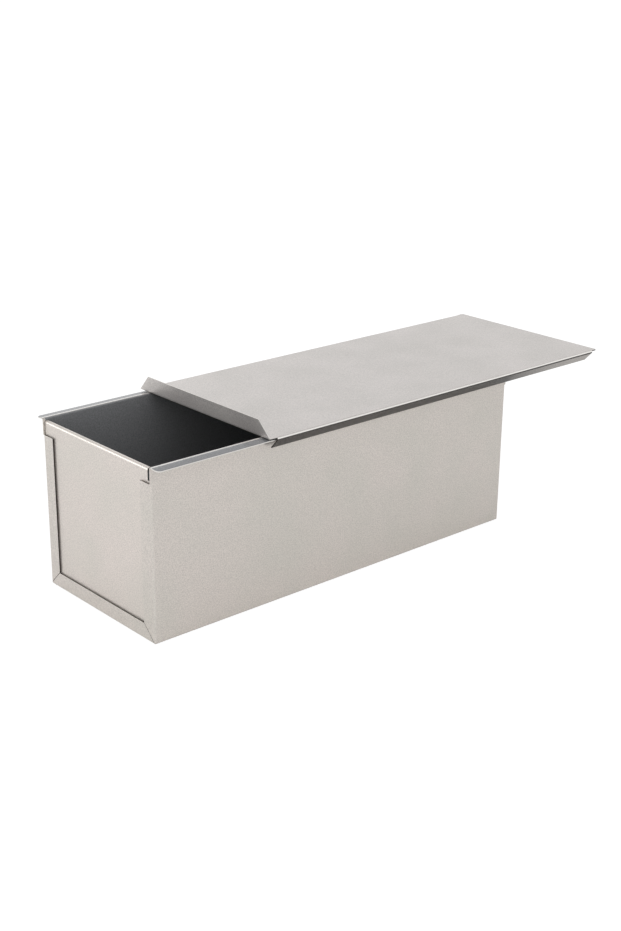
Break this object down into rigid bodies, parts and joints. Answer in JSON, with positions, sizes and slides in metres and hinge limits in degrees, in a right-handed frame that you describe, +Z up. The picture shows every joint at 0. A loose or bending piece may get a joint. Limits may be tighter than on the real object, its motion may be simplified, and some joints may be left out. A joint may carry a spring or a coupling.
{
  "type": "pullman loaf pan",
  "caption": "Long straight-sided sheet-metal bread tin with outward lips, folded end seams and a flat hooked lid that slides along the lips.",
  "frame": {"origin": "centre of the trough's flat underside, on the surface that the pan stands on", "axes": "+X along the pan, the way the lid slides open; +Y across it; +Z up, out of the trough"},
  "size_m": [0.3615, 0.1232, 0.1145],
  "materials": {
    "pan_steel": "satin silver coating outside, dark grey non-stick coating inside",
    "plate_steel": "satin silver coating outside, dark grey non-stick coating inside",
    "lid_steel": "satin silver coating on both faces"
  },
  "bodies": {
    "pan": {"trough": "pan_steel", "left_end_plate": "plate_steel", "right_end_plate": "plate_steel"},
    "lid": {"sliding_lid": "lid_steel"}
  },
  "joints": [
    {"name": "lid_slide", "type": "slide", "parent": "pan", "child": "lid", "axis": [1, 0, 0], "range_m": [-0.078, 0.21]}
  ]
}
